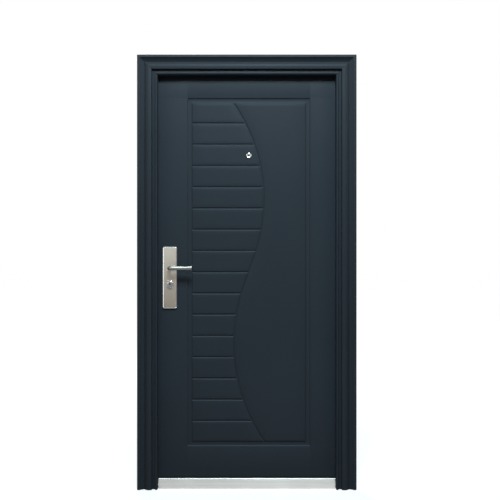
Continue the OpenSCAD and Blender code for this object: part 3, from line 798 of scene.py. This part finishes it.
def cast_lever():
    start = started(bpy.ops.mesh.primitive_circle_add, vertices=SIDES, radius=1, fill_type="NGON")
    for vertex, place in zip(start.data.vertices, ring_at(*stations[0])):
        vertex.co = place
    for number, station in enumerate(stations[1:]):
        alone(start)
        bpy.ops.object.mode_set(mode="EDIT")
        if not number:
            bpy.ops.mesh.select_all(action="SELECT")
        bpy.ops.mesh.extrude_region_move()
        bpy.ops.object.mode_set(mode="OBJECT")
        tail = 2.6 if number >= len(stations) - 3 else 0.0
        fresh = [vertex for vertex in start.data.vertices if vertex.select]
        for vertex, place in zip(fresh, ring_at(*station, tail)):
            vertex.co = place
    alone(start)
    bpy.ops.object.mode_set(mode="EDIT")
    bpy.ops.mesh.inset(thickness=2.5 * MM, depth=-1.2 * MM)
    bpy.ops.mesh.inset(thickness=2.5 * MM, depth=0)
    bpy.ops.object.mode_set(mode="OBJECT")
    shaped(start, made_outward)
    rounding = start.modifiers.new("rounding", "SUBSURF")
    rounding.levels = rounding.render_levels = 2
    bpy.ops.object.modifier_apply(modifier=rounding.name)
    return start


# The levers get a darker copy of the nickel: painted shade that keeps their highlight from glaring.
lever_shaded_nickel = brushed_metal("nickel_shaded_for_levers", (0.17, 0.16, 0.14), (0.30, 0.28, 0.255), (60, 700, 700), 0.42)
outside = settled(cast_lever(), "cast_lever_outside", "lever_set", "nickel", "lever_outside", smooth=60)
inside = settled(moved_inside(cast_lever()), "cast_lever_inside", "lever_set", "nickel", "lever_inside", smooth=60)
for lever in (outside, inside):
    lever.data.materials[0] = lever_shaded_nickel

# %% [markdown]
# ## Cylinder, guard and thumb turn
#
# The key's end is small but it is where everyone looks. An oval guard lies on the plate, the egg-shaped cap of the
# cylinder stands proud of it, and the plug with its crooked keyway sits in the cap. An oval is a round block whose
# halves are pulled apart. The egg is two round blocks, a large one and a small one, wrapped by their convex hull.

# %% Shape the small blocks of the lock
def joined(*pieces):
    """Makes one object of several."""
    alone(pieces[0])
    for piece in pieces[1:]:
        piece.select_set(True)
    bpy.ops.object.join()
    return pieces[0]


def grown_with(piece, others):
    """Melts other blocks into a piece."""
    for other in others:
        alone(piece)
        melt = piece.modifiers.new("melt", "BOOLEAN")
        melt.operation, melt.solver, melt.object = "UNION", "EXACT", other
        bpy.ops.object.modifier_apply(modifier=melt.name)
        bpy.data.objects.remove(other)
    return piece


def rim_rounded(piece, at, width, segments=4):
    """Rounds the rim of a block at one depth."""
    edges_where(piece, lambda a, b: abs(a.y - at * MM) < 1e-6 and abs(b.y - at * MM) < 1e-6)
    bpy.ops.mesh.bevel(offset=width * MM, segments=segments, affect="EDGES")
    bpy.ops.object.mode_set(mode="OBJECT")
    return piece


def pulled_apart(piece, middle_z, by):
    """Pulls the upper and the lower half of a round block apart."""
    for way in (1, -1):
        alone(piece)
        bpy.ops.object.mode_set(mode="EDIT")
        bpy.ops.mesh.select_all(action="DESELECT")
        bpy.ops.mesh.select_mode(type="VERT")
        bpy.ops.object.mode_set(mode="OBJECT")
        for vertex in piece.data.vertices:
            vertex.select = (vertex.co.z - middle_z * MM) * way > 1e-5
        bpy.ops.object.mode_set(mode="EDIT")
        bpy.ops.transform.translate(value=(0, 0, way * by * MM))
        bpy.ops.object.mode_set(mode="OBJECT")
    return piece


def egg(grow, front, back):
    """A block wrapped round a large and a small circle."""
    large = disc(LEVER_X, PLUG_Z, 12 + grow, front, back)
    small = disc(LEVER_X, PLUG_Z - 14, 7.5 + grow, front, back)
    return shaped(
        joined(large, small),
        lambda: bpy.ops.mesh.convex_hull(),
        lambda: bpy.ops.mesh.dissolve_limited(angle_limit=math.radians(0.5)),
    )


# %% Guard, cap and barrel, plug and thumb turn
GUARD_FRONT, CAP_FRONT, PLUG_FRONT = -13, -17, -17.5
guard = pulled_apart(disc(LEVER_X, PLUG_Z - 6, 17, GUARD_FRONT, -PLATE_T), PLUG_Z - 6, 5)
cut_out(rim_rounded(guard, GUARD_FRONT, 1.9, 6), [egg(0.8, GUARD_FRONT - 2, 2 - PLATE_T)])
settled(guard, "oval_guard", "leaf", "bright_metal", "cylinder_guard", smooth=30)

cap = rim_rounded(egg(0, CAP_FRONT, -PLATE_T), CAP_FRONT, 1, 5)
barrel = disc(LEVER_X, PLUG_Z, 8.5, -PLATE_T - 1, 59)
grown_with(cap, [barrel, block(LEVER_X, PLUG_Z - 12.25, 10, 24.5, -PLATE_T - 1.2, 59)])
cut_out(cap, [disc(LEVER_X, PLUG_Z, 6.55, CAP_FRONT - 2, 13)])
settled(cap, "cylinder_cap_and_barrel", "leaf", "bright_metal", "cylinder_body", smooth=30)

plug = rim_rounded(disc(LEVER_X, PLUG_Z, 6.5, PLUG_FRONT, 12.5), PLUG_FRONT, 0.45, 3)
upper = block(LEVER_X - 0.45, PLUG_Z + 1.9, 1.5, 4.2, PLUG_FRONT - 2, 2.5)
lower = block(LEVER_X + 0.45, PLUG_Z - 1.9, 1.5, 4.2, PLUG_FRONT - 2.2, 2.3)
waist = block(LEVER_X, PLUG_Z, 2.4, 1.3, PLUG_FRONT - 2.4, 2.1)
cut_out(plug, [upper, lower, waist])
settled(plug, "plug_with_keyway", "plug", "plug_brass", "key_plug", smooth=30)

rose = rim_rounded(disc(LEVER_X, PLUG_Z, 15, 59, 63), 63, 1.4, 5)
collar = rim_rounded(disc(LEVER_X, PLUG_Z, 9, 59.2, 70), 70, 2, 5)
grip = rim_rounded(pulled_apart(disc(LEVER_X, PLUG_Z, 4.5, 59.4, 81), PLUG_Z, 10.5), 81, 1.6, 5)
settled(grown_with(rose, [collar, grip]), "turned_thumb_knob", "leaf", "bright_metal", "thumbturn", smooth=30)

# %% [markdown]
# ## The peephole
#
# Ring, inside ring and lens are turned parts, so each is an outline of radius and depth that is spun once round.

# %% Spin the peephole's parts
def spun(outline, x, z):
    """Turns an outline of radius and depth about an axis through the door."""
    line = started(bpy.ops.mesh.primitive_circle_add, vertices=len(outline), radius=1, fill_type="NOTHING")
    for vertex, (radius, y) in zip(line.data.vertices, outline):
        vertex.co = ((x + radius) * MM, y * MM, z * MM)
    return shaped(
        line,
        lambda: bpy.ops.mesh.spin(
            steps=64, angle=math.radians(360), center=(x * MM, 0, z * MM), axis=(0, 1, 0), use_auto_merge=True
        ),
        made_outward,
        lambda: bpy.ops.mesh.delete_loose(),
    )


ring_line = [(5.5, 25), (7, 25), (7, 0), (13.5, 0), (13.5, -0.9), (13.35, -1.7), (12.9, -2.5), (12.2, -3.2)]
ring_line += [(11.3, -3.7), (10.3, -4), (9.3, -3.9), (8.4, -3.6), (7.3, -3.2), (6.3, -2.8), (5.7, -2.4), (5.5, -2.1)]
settled(spun(ring_line, PANEL_X, PEEP_Z), "turned_peephole_ring", "leaf", "bright_metal", "peephole_ring", smooth=40)
inside_ring = moved_inside(spun(ring_line, PANEL_X, PEEP_Z))
settled(inside_ring, "turned_inside_ring", "leaf", "bright_metal", "peephole_inner", smooth=40)
lens_line = [(0, 4), (5.5, 4), (5.5, -0.5)]
lens_line += [(5.5 * math.cos(a), -0.5 - 1.37 * math.sin(a)) for a in (math.radians(10 * i) for i in range(1, 9))]
lens_line += [(0, -1.87)]
settled(spun(lens_line, PANEL_X, PEEP_Z), "domed_lens", "leaf", "lens_glass", "peephole_lens", smooth=60)

# %% [markdown]
# ## Screws
#
# Twelve pan-head screws hold the hinges, and flatter ones hold the strike plate, the forend and the inside plate.
# One head is modelled, with its cross recess, and every other is a copy with its own mesh, turned and set in place.

# %% One screw head
def screw_head():
    """A pan head on the plane y = 0, facing the outside."""
    head = rim_rounded(disc(0, 0, 4.4, -2.2, 0, vertices=32), -2.2, 1.5, 4)
    cut_out(head, [block(0, 0, 4.8, 0.9, -3, -0.9), block(0, 0, 0.9, 4.8, -3.2, -0.9)])
    return settled(head, "screw_head", "leaf", "galvanised", smooth=30)


def set_screw(name, body, place, turn, flatness=1.0, slot="galvanised"):
    """A copy of the head with its own mesh, flattened, turned about the height and set in place."""
    copy = bpy.data.objects.new(name, pattern.data.copy())
    bpy.context.scene.collection.objects.link(copy)
    copy.scale = (1, flatness, 1)
    copy.rotation_euler = (0, 0, math.radians(turn))
    copy.location = [mm * MM for mm in place]
    return settled(copy, name, body, slot, smooth=30)


pattern = screw_head()
for word, height in (("bottom", 226), ("middle", 1025), ("top", 1824)):
    for number, share in enumerate((0.25, 0.75), start=1):
        set_screw(f"frame_hinge_screw_{word}_{number}", "frame", (466, 54, height - 58 + 58 * share), 180)
        set_screw(f"leaf_hinge_screw_{word}_{number}", "leaf", (419.5, 54, height + 1 + 58 * share), 180)
for number, height in enumerate((LOCK_Z - 157, LOCK_Z + 157), start=1):
    set_screw(f"strike_screw_{number}", "frame", (-451.5, 25, height), 90, 0.3)
for number, height in enumerate((LOCK_Z - 142, LOCK_Z + 142), start=1):
    set_screw(f"forend_screw_{number}", "leaf", (-444, 25, height), -90, 0.3)
for number, height in enumerate((PLATE_Z - 128, PLATE_Z + 128), start=1):
    set_screw(f"plate_screw_{number}", "leaf", (PLATE_X, 59, height), 180, 0.5, "bright_metal")
bpy.data.objects.remove(pattern)

# %% [markdown]
# ## Floor, air and lamps
#
# The photograph has a plain white ground. The floor's own colour is a quiet grey, so that it throws little light up
# under the mouldings, and a glow that only the camera and reflections see lifts it to white while the door's shadow
# still darkens it. The air does the same: white to the camera, paler in the metal, and a low even light for the door.

# %% A mask for what the camera and mirrors see
def seen_by(start, *kinds):
    """1 for a ray of one of these kinds, and 0 for light that falls on the door."""
    rays = start.node("ShaderNodeLightPath").socket.node.outputs
    mask = Value(start.tree, rays[f"Is {kinds[0]} Ray"])
    for kind in kinds[1:]:
        mask = mask.at_least(Value(start.tree, rays[f"Is {kind} Ray"]))
    return mask


# %% The floor
FLOOR_GREY = 0.22
bpy.ops.object.select_all(action="DESELECT")
bpy.ops.mesh.primitive_plane_add(size=60, location=(0, 0, -0.0005))
floor = bpy.context.object
floor.name = "studio_floor"
ground = bpy.data.materials.new("floor_paper")
ground.use_nodes = True
ground.node_tree.nodes.clear()
start = Value(ground.node_tree)
paper = start.node("ShaderNodeBsdfDiffuse", sockets={"Color": (FLOOR_GREY, FLOOR_GREY, FLOOR_GREY, 1)})
place = start.node("ShaderNodeTexCoord", out="Object")
away = start.node("ShaderNodeVectorMath", {"operation": "LENGTH"}, {0: place}, out="Value")
lift = ((away - 1.0) * 0.06).at_least(0.0).at_most(0.27) + 0.72
plain = seen_by(start, "Camera", "Transmission") * lift + seen_by(start, "Glossy") * 0.18
glow = start.node("ShaderNodeEmission", sockets={"Strength": plain})
both = start.node("ShaderNodeAddShader", sockets={0: paper, 1: glow})
start.node("ShaderNodeOutputMaterial", sockets={"Surface": both})
floor.data.materials.append(ground)
print("Floor is 60 m wide, its top at", round(floor.location.z, 4))

# %% The air round the door
AIR_LIGHT, MIRRORED = 0.028, 0.62
air = bpy.data.worlds.new("studio_air")
bpy.context.scene.world = air
air.use_nodes = True
air.node_tree.nodes.clear()
start = Value(air.node_tree)
level = seen_by(start, "Camera", "Transmission") * (1 - AIR_LIGHT) + AIR_LIGHT
level = level + seen_by(start, "Glossy") * (MIRRORED - AIR_LIGHT)
white = start.node("ShaderNodeBackground", sockets={"Color": (1, 1, 1, 1), "Strength": level})
start.node("ShaderNodeOutputWorld", sockets={"Surface": white})
print("The air lights the door at", AIR_LIGHT, "and mirrors at", MIRRORED)


# %% The lamps
def lamp(name, at, towards, size, power, tint):
    bpy.ops.object.select_all(action="DESELECT")
    bpy.ops.object.light_add(type="AREA", location=at)
    made = bpy.context.object
    made.name = name
    made.rotation_euler = (Vector(towards) - Vector(at)).to_track_quat("-Z", "Y").to_euler()
    made.data.size = size
    made.data.energy = power
    made.data.color = tint
    print("Lamp", name, "gives", power, "W from", at)


lamp("high_softbox", (0.1, -2.4, 4.0), (0, 0, 1.5), 1.0, 282, (0.68, 0.89, 1.0))
lamp("left_softbox", (-2.8, -1.4, 3.0), (0, 0, 1.9), 1.0, 28, (1.0, 0.92, 0.78))
lamp("left_plate_light", (-1.64, -1.82, 1.0), (-0.41, 0, 1.03), 0.8, 3, (1.0, 1.0, 1.0))
lamp("right_softbox", (2.8, -1.4, 3.0), (0, 0, 1.9), 1.0, 36, (1.0, 0.92, 0.78))
lamp("low_fill", (0.2, -1.5, 0.2), (0, 0, 0.05), 0.6, 4.5, (0.75, 0.9, 1.0))
lamp("rear_softbox", (-1.2, 3.0, 3.4), (0, 0, 1.1), 1.4, 190, (0.95, 0.98, 1.0))
bpy.context.scene.view_settings.view_transform = "Standard"
